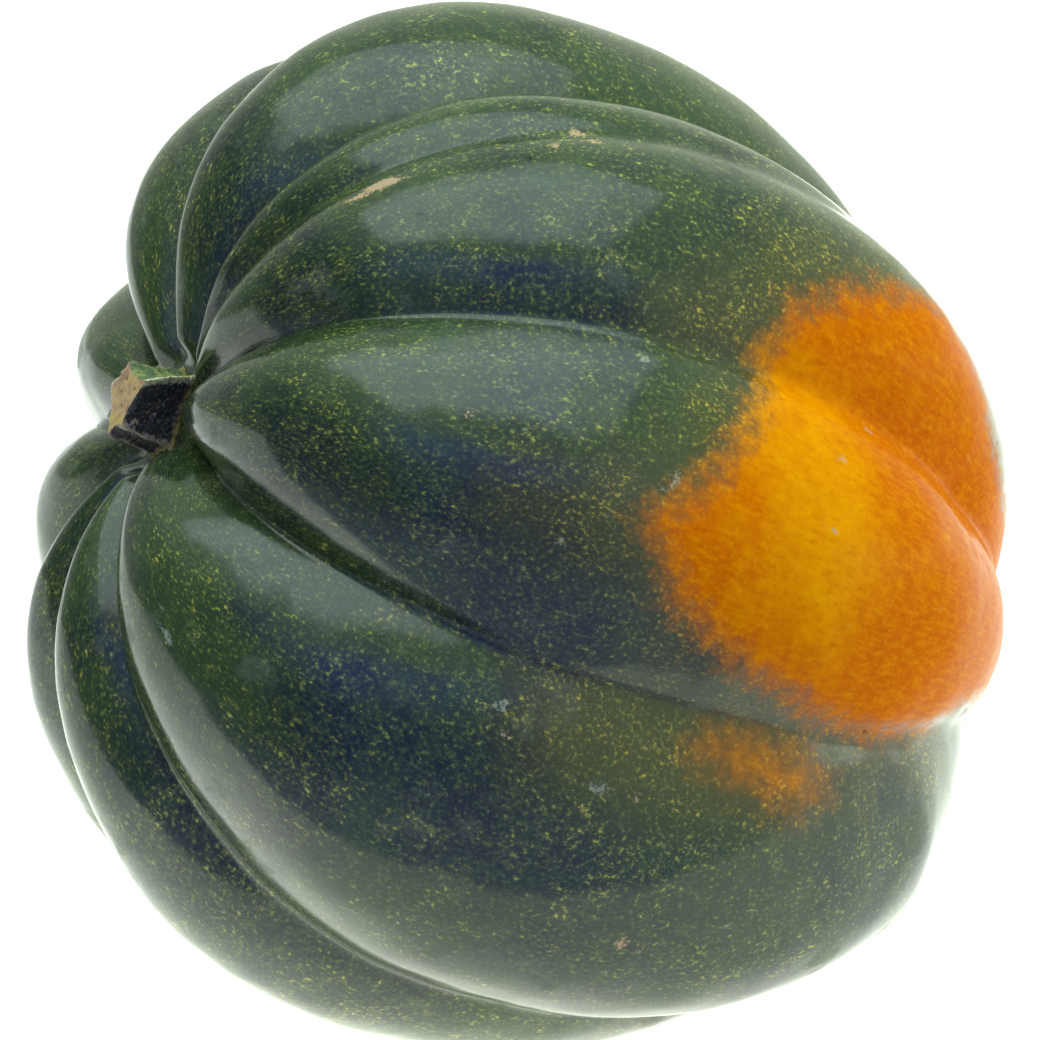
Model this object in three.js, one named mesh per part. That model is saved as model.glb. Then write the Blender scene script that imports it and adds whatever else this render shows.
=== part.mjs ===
// An acorn squash at its real size, lying on its side on two of its ribs.
// Millimetres, +Z up. The origin is on the surface it lies on, under the middle of the whole thing.
// Two pieces: the fruit, which grew as one body, and the cut stub of its stem.
import * as THREE from 'three';

const TURN = 2 * Math.PI;
const { degToRad, clamp, lerp, smoothstep } = THREE.MathUtils;

// The fruit is described in a frame of its own: +Z leaves its stem end, and angles run
// anticlockwise round that axis as seen by someone looking at the stem.
const RIB_RADIUS = 64; // from the axis to the crest of a full rib
const STEM_HALF = 57; // from the widest place to the shoulder round the stem
const BLOSSOM_HALF = 66; // from the widest place to the blossom end
const STEM_HALF_FULLNESS = 2.3; // 2 gives half an ellipse, more gives squarer shoulders
const BLOSSOM_HALF_FULLNESS = 2.1;
const PIT_DEPTH = 10; // the hollow that the stem grows from
const PIT_SPREAD = 20; // degrees of latitude
const TIP_LENGTH = 5; // the point at the blossom end
const TIP_SPREAD = 10; // degrees of latitude
const SIDE_LEAN = 0.06; // how much further toward the stem one side has grown
const SEAT_RADIUS = 6.4; // level ground under the stem
const SEAT_BLEND = 9.5; // radius where the ribs have their full shape again
const SEAT_HEIGHT = STEM_HALF - PIT_DEPTH;

// Going round the fruit, every rib is a round bulge in cross-section: angle says where it is,
// crest how far out it stands and bulge the radius of its arc, both as parts of RIB_RADIUS.
// lean and bow, in degrees, swing it sideways on its way to the blossom end, and drop lowers
// its crest there, beginning at dropFrom (0 is the stem, 1 the blossom end).
const RIBS = [
  { angle: 3, crest: 1.02, bulge: 0.42, lean: -4, bow: 1, drop: 0.05, dropFrom: 0.3, columns: 14 },
  { angle: 42, crest: 0.985, bulge: 0.34, lean: 10, columns: 13 },
  { angle: 59, crest: 0.965, bulge: 0.18, lean: -2, bow: -2, drop: 0.06, dropFrom: 0.2, columns: 4 },
  { angle: 85, crest: 0.995, bulge: 0.37, bow: 6, drop: 0.08, dropFrom: 0.3, columns: 13 },
  { angle: 127, crest: 0.99, bulge: 0.44, lean: -5, bow: -2, columns: 13 },
  { angle: 168, crest: 0.96, bulge: 0.36, lean: -4, bow: 2, columns: 12 },
  { angle: 210, crest: 0.99, bulge: 0.44, lean: 3, bow: 2, columns: 12 },
  { angle: 247, crest: 1.04, bulge: 0.26, lean: 4, columns: 12 },
  { angle: 279, crest: 1.085, bulge: 0.34, lean: -2, bow: 1, drop: 0.12, dropFrom: 0.35, columns: 12 },
  { angle: 317, crest: 1.07, bulge: 0.52, lean: 6, bow: -2, drop: 0.12, dropFrom: 0.75, columns: 16 },
];
const NARROWEST_RIB = degToRad(5); // a rib that dies away keeps this much for its columns
const RINGS = 46; // rows of points from the stem to the blossom end

// The grooves are deepest on the shoulder and run out to nothing at both ends.
const GROOVE_DEPTH = [
  { along: 0, depth: 0.75 },
  { along: 0.15, depth: 1.15 },
  { along: 0.4, depth: 1 },
  { along: 0.75, depth: 1 },
  { along: 1, depth: 0.1 },
];
const STEM_FADE = 9; // degrees of latitude over which the grooves begin
const BLOSSOM_FADE = 28;

// How it lies: the stem points up a little and toward the front, and one turn about its own
// axis brings the two ribs that carry it to the bottom.
const STEM_RISE = degToRad(21);
const STEM_SWING = degToRad(23);
const ROLL = degToRad(-84);
const PRESSED = 0.8; // depth of the flat spots where its weight has rested

// The stem stub is five-sided, with a ridge at each corner. It spreads a little where it
// meets the fruit, and was cut off square.
const STEM_LENGTH = 7.8;
const STEM_OFFSET = 1.2; // the cut end stands this far to one side of the root
const STEM_RINGS = 6;
const STEM_SIDE_STEPS = 5;
const STEM_SIDE_HOLLOW = 0.1; // how far each side dips in between its ridges
const STEM_GAP = 0.3; // clearance to the fruit under it
const STEM_RIDGES = [
  { rootAngle: 58, cutAngle: 25, rootRadius: 5.8, cutRadius: 6.9 },
  { rootAngle: 102, cutAngle: 99, rootRadius: 6, cutRadius: 4.8 },
  { rootAngle: 178, cutAngle: 162, rootRadius: 6, cutRadius: 4.7 },
  { rootAngle: 247, cutAngle: 266, rootRadius: 6.3, cutRadius: 4.8 },
  { rootAngle: 303, cutAngle: 311, rootRadius: 5, cutRadius: 4.2 },
];

const RIND = new THREE.MeshStandardMaterial({ name: 'rind', color: 0x24402a, roughness: 0.35, metalness: 0 });
const STALK = new THREE.MeshStandardMaterial({ name: 'stalk', color: 0x4a4a34, roughness: 0.8, metalness: 0 });

// Where a rib stands at one place along the fruit: the centre of its arc and its radius.
function ribArc(rib, along) {
  const { lean = 0, bow = 0, drop = 0, dropFrom = 0 } = rib;
  const angle = degToRad(rib.angle + lean * (along - 0.5) + bow * Math.sin(Math.PI * along));
  const crest = rib.crest - drop * clamp((along - dropFrom) / (1 - dropFrom), 0, 1);
  return { angle, centre: crest - rib.bulge, radius: rib.bulge };
}

// The distance from the axis to a rib's arc in the direction theta, or 0 where it isn't met.
function arcReach(arc, theta) {
  const off = theta - arc.angle;
  const under = arc.radius ** 2 - (arc.centre * Math.sin(off)) ** 2;
  if (under <= 0 || Math.cos(off) <= 0) {
    return 0;
  }
  return arc.centre * Math.cos(off) + Math.sqrt(under);
}

// The groove between two neighbouring ribs is where their arcs cross.
function grooveAngle(before, after) {
  const start = new THREE.Vector2(before.centre, 0).rotateAround(new THREE.Vector2(), before.angle);
  const across = new THREE.Vector2(after.centre, 0).rotateAround(new THREE.Vector2(), after.angle).sub(start);
  const apart = across.length();
  const toChord = (apart ** 2 + before.radius ** 2 - after.radius ** 2) / (2 * apart);
  const halfChord = Math.sqrt(Math.max(before.radius ** 2 - toChord ** 2, 0));
  const outward = new THREE.Vector2(across.y, -across.x).setLength(halfChord);
  const meeting = start.add(across.setLength(toChord)).add(outward);
  const middle = (before.angle + after.angle) / 2;
  return meeting.angle() + TURN * Math.round((middle - meeting.angle()) / TURN);
}

// The groove in front of each rib, and at the end the first groove again, one turn on.
function grooveAngles(arcs) {
  const count = arcs.length;
  const before = { ...arcs[count - 1], angle: arcs[count - 1].angle - TURN };
  const grooves = arcs.map((arc, i) => grooveAngle(i === 0 ? before : arcs[i - 1], arc));
  grooves.push(grooves[0] + TURN);
  for (let i = 1; i < count - 1; i += 1) {
    if (grooves[i + 1] - grooves[i] < NARROWEST_RIB) {
      const joint = grooveAngle(arcs[i - 1], arcs[i + 1]);
      grooves[i] = joint - NARROWEST_RIB / 2;
      grooves[i + 1] = joint + NARROWEST_RIB / 2;
    }
  }
  return grooves;
}

function grooveDepth(along) {
  const next = Math.max(GROOVE_DEPTH.findIndex((stop) => stop.along >= along), 1);
  const from = GROOVE_DEPTH[next - 1];
  const to = GROOVE_DEPTH[next];
  const depth = lerp(from.depth, to.depth, (along - from.along) / (to.along - from.along));
  const stemFade = 1 - Math.exp(-(((180 * along) / STEM_FADE) ** 2));
  const blossomFade = 1 - Math.exp(-(((180 * (1 - along)) / BLOSSOM_FADE) ** 2));
  return depth * stemFade * blossomFade;
}

// One point of the skin, in the fruit's own frame.
function skinPoint(arcs, along, theta) {
  const latitude = Math.PI * (0.5 - along);
  const outward = Math.cos(latitude);
  const upward = Math.sin(latitude);
  const half = upward > 0 ? STEM_HALF : BLOSSOM_HALF;
  const fullness = upward > 0 ? STEM_HALF_FULLNESS : BLOSSOM_HALF_FULLNESS;
  const body = (Math.abs(outward / RIB_RADIUS) ** fullness + Math.abs(upward / half) ** fullness) ** (-1 / fullness);
  const reach = Math.max(...arcs.map((arc) => arcReach(arc, theta)));
  const pit = PIT_DEPTH * Math.exp(-(((180 * along) / PIT_SPREAD) ** 2));
  const tip = TIP_LENGTH * Math.exp(-(((180 * (1 - along)) / TIP_SPREAD) ** 2));
  const distance = body * (1 - (1 - reach) * grooveDepth(along)) - pit + tip;
  const radius = distance * outward;
  const y = radius * Math.sin(theta);
  const height = distance * upward + SIDE_LEAN * y;
  const shaped = along < 0.5 ? smoothstep(radius, SEAT_RADIUS, SEAT_BLEND) : 1;
  return new THREE.Vector3(radius * Math.cos(theta), y, lerp(SEAT_HEIGHT, height, shaped));
}

// Closes a stack of rings, each with the same number of points, with a point at either end.
function ringsToGeometry(first, rings, last) {
  const columns = rings[0].length;
  const points = [first, ...rings.flat(), last];
  const end = points.length - 1;
  const triangles = [];
  for (let c = 0; c < columns; c += 1) {
    const d = (c + 1) % columns;
    triangles.push(0, 1 + c, 1 + d);
    for (let r = 0; r + 1 < rings.length; r += 1) {
      const row = 1 + r * columns;
      triangles.push(row + c, row + columns + c, row + columns + d);
      triangles.push(row + c, row + columns + d, row + d);
    }
    const lastRow = 1 + (rings.length - 1) * columns;
    triangles.push(lastRow + c, end, lastRow + d);
  }
  const geometry = new THREE.BufferGeometry().setFromPoints(points);
  geometry.setIndex(triangles);
  return geometry;
}

// Rings of skin from the stem end to the blossom end, with a column of points in every groove.
function fruitGeometry() {
  const rings = [];
  for (let r = 1; r < RINGS; r += 1) {
    const along = r / RINGS;
    const arcs = RIBS.map((rib) => ribArc(rib, along));
    const grooves = grooveAngles(arcs);
    const ring = RIBS.flatMap((rib, i) => Array.from({ length: rib.columns }, (_, c) => (
      skinPoint(arcs, along, lerp(grooves[i], grooves[i + 1], c / rib.columns)))));
    rings.push(ring);
  }
  const stemPole = new THREE.Vector3(0, 0, SEAT_HEIGHT);
  const blossomPole = new THREE.Vector3(0, 0, -(BLOSSOM_HALF + TIP_LENGTH));
  return ringsToGeometry(stemPole, rings, blossomPole);
}

// One ring of the stem stub: straight hollow sides between the five ridges.
function stemRing(up) {
  const corners = STEM_RIDGES.map((ridge) => {
    const angle = degToRad(lerp(ridge.rootAngle, ridge.cutAngle, up));
    const flare = lerp(ridge.rootRadius, ridge.cutRadius, Math.sqrt(up));
    return new THREE.Vector3(flare * Math.cos(angle), flare * Math.sin(angle), 0);
  });
  const middle = new THREE.Vector3(STEM_OFFSET * up, 0, SEAT_HEIGHT + lerp(STEM_GAP, STEM_LENGTH, up));
  return corners.flatMap((corner, i) => Array.from({ length: STEM_SIDE_STEPS }, (_, s) => {
    const across = s / STEM_SIDE_STEPS;
    const hollow = 1 - STEM_SIDE_HOLLOW * Math.sin(Math.PI * across);
    return corner.clone().lerp(corners[(i + 1) % corners.length], across).multiplyScalar(hollow).add(middle);
  }));
}

function stemGeometry() {
  const rings = Array.from({ length: STEM_RINGS + 1 }, (_, r) => stemRing(1 - r / STEM_RINGS));
  const cutMiddle = new THREE.Vector3(STEM_OFFSET, 0, SEAT_HEIGHT + STEM_LENGTH);
  const rootMiddle = new THREE.Vector3(0, 0, SEAT_HEIGHT + STEM_GAP);
  return ringsToGeometry(cutMiddle, rings, rootMiddle);
}

// From the fruit's own frame to the way it lies.
function layDown() {
  const roll = new THREE.Matrix4().makeRotationZ(ROLL);
  const tip = new THREE.Matrix4().makeRotationY(STEM_RISE - Math.PI / 2);
  const swing = new THREE.Matrix4().makeRotationZ(STEM_SWING);
  return swing.multiply(tip).multiply(roll);
}

// Presses flat whatever is lower than the given depth above the lowest point.
function pressFlat(geometry, depth) {
  geometry.computeBoundingBox();
  const floor = geometry.boundingBox.min.z + depth;
  const position = geometry.getAttribute('position');
  for (let i = 0; i < position.count; i += 1) {
    position.setZ(i, Math.max(position.getZ(i), floor));
  }
  return floor;
}

const lying = layDown();
const fruit = new THREE.Mesh(fruitGeometry().applyMatrix4(lying), RIND);
fruit.name = 'fruit';
const stem = new THREE.Mesh(stemGeometry().applyMatrix4(lying), STALK);
stem.name = 'stem';
const floor = pressFlat(fruit.geometry, PRESSED);

const squash = new THREE.Group();
squash.add(fruit, stem);
const middle = new THREE.Box3().setFromObject(squash).getCenter(new THREE.Vector3());
squash.position.set(-middle.x, -middle.y, -floor);
squash.updateMatrixWorld(true);

export default squash;
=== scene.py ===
# %% [markdown]
# # An acorn squash
#
# The squash lies on its side on a pale table: a dark green rind with deep ribs, yellow-green
# flecks, orange patches where it lay on the ground, and the cut stub of its stem. The packed
# model gives the size and place of both pieces. Blender adds the fine surface and the finishes.

# %% Load the fixed frame
import math
from collections import namedtuple
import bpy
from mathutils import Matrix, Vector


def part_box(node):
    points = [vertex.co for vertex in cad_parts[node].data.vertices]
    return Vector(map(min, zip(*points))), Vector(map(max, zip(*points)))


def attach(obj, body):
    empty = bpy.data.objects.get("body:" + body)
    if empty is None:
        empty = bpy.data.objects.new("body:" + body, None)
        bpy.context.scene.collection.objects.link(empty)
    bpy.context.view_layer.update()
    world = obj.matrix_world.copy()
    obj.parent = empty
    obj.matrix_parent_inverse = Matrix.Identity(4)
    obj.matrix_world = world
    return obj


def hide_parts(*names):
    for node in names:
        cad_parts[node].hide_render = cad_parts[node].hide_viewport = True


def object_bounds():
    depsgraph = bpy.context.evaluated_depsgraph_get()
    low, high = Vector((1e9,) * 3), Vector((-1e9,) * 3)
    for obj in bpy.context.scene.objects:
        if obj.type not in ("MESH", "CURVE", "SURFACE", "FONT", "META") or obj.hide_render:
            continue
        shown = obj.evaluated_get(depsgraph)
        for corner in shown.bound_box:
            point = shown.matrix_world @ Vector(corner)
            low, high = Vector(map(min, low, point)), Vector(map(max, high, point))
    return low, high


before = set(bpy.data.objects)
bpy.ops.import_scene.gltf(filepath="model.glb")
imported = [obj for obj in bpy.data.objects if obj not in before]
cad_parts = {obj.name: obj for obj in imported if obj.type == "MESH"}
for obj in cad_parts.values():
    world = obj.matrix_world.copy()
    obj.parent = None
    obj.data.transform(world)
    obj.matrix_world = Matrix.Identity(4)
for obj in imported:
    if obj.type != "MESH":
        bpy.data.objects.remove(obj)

from types import SimpleNamespace

import bpy
import numpy as np
from mathutils import Matrix, Vector, noise

MM = 0.001
cad_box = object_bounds()
print("fixed frame:", sorted(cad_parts), "size in m:", cad_box[1] - cad_box[0])

# %% [markdown]
# ## The camera
#
# A squash looks natural from a little above the table. A long lens from nearly a metre away
# keeps the ribs from looking swollen, as they would from close up. It aims at the middle of
# the fruit, and the lens is worked out from the width that the picture has to hold.

# %% Camera
VIEW_ELEVATION = math.radians(14)
VIEW_DISTANCE = 0.9
VIEW_WIDTH = 0.1316
SENSOR_WIDTH = 36

camera = bpy.data.objects.new("camera", bpy.data.cameras.new("camera"))
camera.data.sensor_width = SENSOR_WIDTH
camera.data.lens = SENSOR_WIDTH * VIEW_DISTANCE / VIEW_WIDTH
backward = Vector((0, -math.cos(VIEW_ELEVATION), math.sin(VIEW_ELEVATION)))
camera.location = (cad_box[0] + cad_box[1]) / 2 + VIEW_DISTANCE * backward
camera.rotation_euler = (math.pi / 2 - VIEW_ELEVATION, 0, 0)
bpy.context.scene.collection.objects.link(camera)
bpy.context.scene.camera = camera
print("lens in mm:", round(camera.data.lens))

# %% [markdown]
# ## The table and the softboxes
#
# Waxy rind is a dark mirror: most of what the eye reads on it is the reflection of the room. A
# large softbox hangs overhead and gives each rib a broad pale band with a clear left edge. A
# second, wider one hangs just above it, so that the band fades in two steps toward the front,
# the right and the back. They hang at different heights because lights in one plane would hide
# each other. The table is a light table. It glows, so there is hardly any shadow and the
# underside isn't black. It ends just in front of the fruit, because a pale table further
# forward would wash out the ribs that face there. It lies a hair below the fruit's flat spots,
# because two faces in one plane flicker.

# %% Table and softboxes
TABLE_FRONT = 0.078
TABLE_SIZE = 3.0
TABLE_DROP = 0.05 * MM
SOFTBOX_TINT = (0.87, 1.0, 1.12)
SOFTBOXES = [
    dict(place=(-0.09, -0.24, 0.80), size=(0.82, 0.72), radiance=0.75),
    dict(place=(0.0, -0.215, 0.82), size=(1.0, 1.0), radiance=1.25),
]


def make_softbox(place, size, radiance):
    data = bpy.data.lights.new("softbox", "AREA")
    data.shape = "RECTANGLE"
    data.size, data.size_y = size
    data.color = SOFTBOX_TINT
    data.energy = radiance * math.pi * size[0] * size[1]
    softbox = bpy.data.objects.new("softbox", data)
    softbox.location = place
    softbox.visible_camera = False
    bpy.context.scene.collection.objects.link(softbox)
    return softbox


half = TABLE_SIZE / 2
corners = [(-half, -TABLE_FRONT), (half, -TABLE_FRONT), (half, TABLE_SIZE), (-half, TABLE_SIZE)]
table = bpy.data.objects.new("table_top", bpy.data.meshes.new("table_top"))
table.data.from_pydata([(x, y, -TABLE_DROP) for x, y in corners], [], [(0, 1, 2, 3)])
bpy.context.scene.collection.objects.link(table)
softboxes = [make_softbox(**box) for box in SOFTBOXES]
bpy.context.scene.view_settings.view_transform = "Standard"
print("softbox power in watts:", [round(softbox.data.energy, 1) for softbox in softboxes])

# %% [markdown]
# ## Writing shaders as sums
#
# A finish is easier to read as arithmetic than as a long list of nodes and links. `Wire` wraps
# one output socket, so that `1 - mask` adds the Math node that it stands for. Everything that
# isn't arithmetic on single values comes from one method of `Nodes`, which takes a node's
# kind, its settings and what its sockets get. Colours are laid over each other like coats of
# paint, each through its mask, and the number beside a mask says how thick that coat is. A
# `Finish` is a material written that way.

# %% Shader helpers
NOISE_MIDDLE = 0.5
MIX_FACTOR, MIX_COLOUR_A, MIX_COLOUR_B, MIX_COLOUR_RESULT = 0, 6, 7, 2


class Wire:
    """One output socket of a node tree. Arithmetic on it adds Math nodes."""

    def __init__(self, socket):
        self.socket = socket

    def math(self, operation, *values):
        inputs = dict(enumerate(values))
        return add_node(self.socket.id_data, "Math", {"operation": operation}, inputs)

    def __add__(self, other):
        return self.math("ADD", self, other)

    __radd__ = __add__

    def __sub__(self, other):
        return self.math("SUBTRACT", self, other)

    def __rsub__(self, other):
        return self.math("SUBTRACT", other, self)

    def __mul__(self, other):
        return self.math("MULTIPLY", self, other)

    def most(self, other):
        return self.math("MAXIMUM", self, other)

    def least(self, other):
        return self.math("MINIMUM", self, other)

    def step(self, low, high):
        """0 below low and 1 above high, or the other way round where high is less than low."""
        settings = {"interpolation_type": "SMOOTHSTEP"}
        inputs = {"Value": self, "From Min": low, "From Max": high}
        return add_node(self.socket.id_data, "MapRange", settings, inputs)

    def swing(self, size):
        """A noise's swing about its middle value, made as large as size says."""
        return (self - NOISE_MIDDLE) * size


def feed(socket, value):
    """Links a wire to a socket, or sets the socket's own value."""
    if isinstance(value, Wire):
        socket.id_data.links.new(value.socket, socket)
    else:
        socket.default_value = (*value, 1) if socket.type == "RGBA" else value


def add_node(tree, kind, settings, inputs, output=0):
    node = tree.nodes.new("ShaderNode" + kind)
    for name, value in settings.items():
        setattr(node, name, value)
    for key, value in inputs.items():
        feed(node.inputs[key], value)
    return Wire(node.outputs[output]) if node.outputs else None


class Nodes:
    """A node tree that is written as expressions."""

    def __init__(self, tree):
        self.tree = tree
        self.tree.nodes.clear()

    def node(self, kind, settings=None, inputs=None, output=0):
        return add_node(self.tree, kind, settings or {}, inputs or {}, output)

    def part(self, vector, axis):
        return self.node("SeparateXYZ", {}, {"Vector": vector}, axis)

    def mix(self, factor, a, b):
        inputs = {MIX_FACTOR: factor, MIX_COLOUR_A: a, MIX_COLOUR_B: b}
        return self.node("Mix", {"data_type": "RGBA"}, inputs, MIX_COLOUR_RESULT)

    def layers(self, colour, *coats):
        """A colour painted over with others, each through its own mask."""
        for mask, coat in coats:
            colour = self.mix(mask, colour, coat)
        return colour


class Finish(Nodes):
    """A material, which can also read what is stored in a mesh."""

    def __init__(self, name):
        self.material = bpy.data.materials.new(name)
        self.material.use_nodes = True
        super().__init__(self.material.node_tree)

    def attribute(self, name, output="Fac"):
        return self.node("Attribute", {"attribute_name": name}, output=output)

    def scale(self, vector, factors):
        return self.node("VectorMath", {"operation": "MULTIPLY"}, {0: vector, 1: factors})

    def noise(self, vector, scale, detail=2.0, roughness=0.5):
        inputs = {"Vector": vector, "Scale": scale, "Detail": detail, "Roughness": roughness}
        return self.node("TexNoise", {}, inputs)

    def bump(self, height):
        """A Normal for small relief whose height is in millimetres."""
        return self.node("Bump", {}, {"Height": height, "Distance": MM, "Strength": 1.0})

    def surface(self, inputs):
        shader = self.node("BsdfPrincipled", {}, inputs)
        self.node("OutputMaterial", {}, {"Surface": shader})
        return self.material


# %% [markdown]
# ### The room
#
# A world shader can be painted by direction, which saves building walls. The room is nearly
# dark and a little blue in front, darkest to the left, brighter to the right, and pale behind
# and above. Low on the far right stands a bright wall, which lights the edges on that side. The
# camera itself sees white all round, like a seamless paper backdrop. Each pair of numbers says
# between which parts of a direction one colour gives way to the next.

# %% Room
ROOM_FRONT = (0.12, 0.11, 0.52)
ROOM_FRONT_HIGH = (0.32, 0.34, 1.30)
ROOM_LEFT = (0.13, 0.15, 0.16)
ROOM_RIGHT = (0.85, 0.95, 0.75)
ROOM_BACK_LEFT = (0.34, 0.38, 0.38)
ROOM_BACK = (0.85, 0.95, 0.75)
ROOM_ABOVE = (0.62, 0.78, 0.62)
ROOM_BELOW = (0.45, 0.52, 0.85)
BRIGHT_WALL = (3.6, 3.9, 3.5)
BACKDROP = (1.1, 1.1, 1.1)
FRONT_RISES = (0.1, 0.45)
FRONT_TO_RIGHT = (0.15, 0.85)
FRONT_TO_LEFT = (-0.35, -0.8)
BACK_TO_RIGHT = (-0.9, 0.3)
FRONT_TO_BACK = (0.0, 0.6)
TO_BELOW = (-0.15, -0.65)
TO_ABOVE = (0.38, 0.68)
LEFT_WALL_TALLER = 0.2
WALL_ALONG_X, WALL_ALONG_Y, WALL_ALONG_Z = (0.3, 0.8), (-0.3, 0.2), (0.2, -0.05)

world = bpy.data.worlds.new("room")
world.use_nodes = True
room = Nodes(world.node_tree)
direction = room.node("TexCoord", output="Generated")
along_x, along_y, along_z = (room.part(direction, axis) for axis in "XYZ")
back = room.mix(along_x.step(*BACK_TO_RIGHT), ROOM_BACK_LEFT, ROOM_BACK)
above = (along_z + along_x.least(0) * LEFT_WALL_TALLER).step(*TO_ABOVE)
wall = along_x.step(*WALL_ALONG_X) * along_y.step(*WALL_ALONG_Y)
shade = room.layers(
    ROOM_FRONT,
    (along_z.step(*FRONT_RISES), ROOM_FRONT_HIGH),
    (along_x.step(*FRONT_TO_RIGHT), ROOM_RIGHT),
    (along_x.step(*FRONT_TO_LEFT), ROOM_LEFT),
    (along_y.step(*FRONT_TO_BACK), back),
    (along_z.step(*TO_BELOW), ROOM_BELOW),
    (above, ROOM_ABOVE),
    (wall * along_z.step(*WALL_ALONG_Z), BRIGHT_WALL),
    (room.node("LightPath", output="Is Camera Ray"), BACKDROP),
)
background = room.node("Background", {}, {"Color": shade})
room.node("OutputWorld", {}, {"Surface": background})
bpy.context.scene.world = world
print("room nodes:", len(room.tree.nodes))

# %% [markdown]
# ### The glow of the table
#
# A light table is brightest over its lamps, here under and behind the fruit, and dimmer at its
# left and front edges. Its glass is matt, because a shiny one would show the fruit a second
# time, upside down. A sheet of paper would do as well, but its shadow would darken the fruit's
# underside.

# %% Table finish
TABLE_GREY = (0.6, 0.6, 0.6)
TABLE_DIM = (0.72, 0.74, 0.70)
TABLE_BRIGHT = (1.75, 1.85, 1.6)
TABLE_DULLNESS = 0.8
LAMPS_FROM_LEFT = (-0.22, -0.05)
LAMPS_FROM_FRONT = (-0.06, -0.01)
LAMPS_ASLANT = 0.5

glass = Finish("light_table")
on_table = glass.node("TexCoord", output="Object")
across = glass.part(on_table, "X")
behind = glass.part(on_table, "Y") - across * LAMPS_ASLANT
lit = across.step(*LAMPS_FROM_LEFT) * behind.step(*LAMPS_FROM_FRONT)
table.data.materials.append(glass.surface({
    "Base Color": TABLE_GREY, "Roughness": TABLE_DULLNESS, "Specular IOR Level": 0.0,
    "Emission Color": glass.mix(lit, TABLE_DIM, TABLE_BRIGHT), "Emission Strength": 1.0,
}))
print("table nodes:", len(glass.tree.nodes))

# %% [markdown]
# ## The shape of the fruit
#
# In cross-section an acorn squash is a ring of round bulges. Each rib is an arc of a circle
# about its own centre, and a groove is the line where two neighbouring arcs cross. That makes
# one formula for the whole skin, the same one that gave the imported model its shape, so a much
# finer mesh made from it lies on the same surface. Sculpting could give such ribs too, but it
# couldn't be repeated or measured. Lengths here are in millimetres, the crests and bulges of
# the ribs are parts of RIB_RADIUS, and the fruit's own +Z leaves its stem end. `along` runs
# from 0 at the stem to 1 at the blossom end, and the spreads and fades are degrees of it.

# %% The ribs
RIB_RADIUS = 64
STEM_HALF = 57
BLOSSOM_HALF = 66
STEM_HALF_FULLNESS = 2.3
BLOSSOM_HALF_FULLNESS = 2.1
PIT_DEPTH = 10
PIT_SPREAD = 20
TIP_LENGTH = 5
TIP_SPREAD = 10
SIDE_LEAN = 0.06
SEAT_RADIUS = 6.4
SEAT_BLEND = 9.5
SEAT_HEIGHT = STEM_HALF - PIT_DEPTH
STEM_FADE = 9
BLOSSOM_FADE = 28
GROOVE_ALONG = [0, 0.15, 0.4, 0.75, 1]
GROOVE_DEPTH = [0.75, 1.15, 1, 1, 0.1]
NARROWEST_RIB = math.radians(5)
POLE_TO_POLE = 180  # degrees


Rib = namedtuple("Rib", "angle crest bulge columns lean bow drop drop_from", defaults=[0, 0, 0, 0])
RIBS = [
    Rib(3, 1.02, 0.42, 54, lean=-4, bow=1, drop=0.05, drop_from=0.3),
    Rib(42, 0.985, 0.34, 48, lean=10),
    Rib(59, 0.965, 0.18, 16, lean=-2, bow=-2, drop=0.06, drop_from=0.2),
    Rib(85, 0.995, 0.37, 48, bow=6, drop=0.08, drop_from=0.3),
    Rib(127, 0.99, 0.44, 46, lean=-5, bow=-2),
    Rib(168, 0.96, 0.36, 44, lean=-4, bow=2),
    Rib(210, 0.99, 0.44, 44, lean=3, bow=2),
    Rib(247, 1.04, 0.26, 42, lean=4),
    Rib(279, 1.085, 0.34, 42, lean=-2, bow=1, drop=0.12, drop_from=0.35),
    Rib(317, 1.07, 0.52, 58, lean=6, bow=-2, drop=0.12, drop_from=0.75),
]


def rib_arc(one, along):
    """Angle, centre and radius of a rib's arc at each place along the fruit."""
    angle = np.radians(one.angle + one.lean * (along - 0.5) + one.bow * np.sin(np.pi * along))
    sunk = one.drop * np.clip((along - one.drop_from) / (1 - one.drop_from), 0, 1)
    return angle, one.crest - sunk - one.bulge, one.bulge


def groove_angle(before, after):
    """The direction in which two neighbouring arcs cross, on their outer side."""
    (a, ca, ra), (b, cb, rb) = before, after
    x, y = ca * np.cos(a), ca * np.sin(a)
    dx, dy = cb * np.cos(b) - x, cb * np.sin(b) - y
    apart = np.hypot(dx, dy)
    to_chord = (apart ** 2 + ra ** 2 - rb ** 2) / (2 * apart)
    half_chord = np.sqrt(np.maximum(ra ** 2 - to_chord ** 2, 0))
    meeting_x = x + (dx * to_chord + dy * half_chord) / apart
    meeting_y = y + (dy * to_chord - dx * half_chord) / apart
    meeting = np.arctan2(meeting_y, meeting_x)
    return meeting + 2 * np.pi * np.round(((a + b) / 2 - meeting) / (2 * np.pi))


def groove_angles(along):
    """The groove in front of each rib, and at the end the first one again, one turn on."""
    arcs = [rib_arc(one, along) for one in RIBS]
    last = (arcs[-1][0] - 2 * np.pi, *arcs[-1][1:])
    grooves = [groove_angle(before, arc) for before, arc in zip([last, *arcs], arcs)]
    grooves.append(grooves[0] + 2 * np.pi)
    for i in range(1, len(RIBS) - 1):
        narrow = grooves[i + 1] - grooves[i] < NARROWEST_RIB
        joint = groove_angle(arcs[i - 1], arcs[i + 1])
        grooves[i] = np.where(narrow, joint - NARROWEST_RIB / 2, grooves[i])
        grooves[i + 1] = np.where(narrow, joint + NARROWEST_RIB / 2, grooves[i + 1])
    return grooves


print("ribs:", len(RIBS), "columns:", sum(one.columns for one in RIBS))

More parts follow.
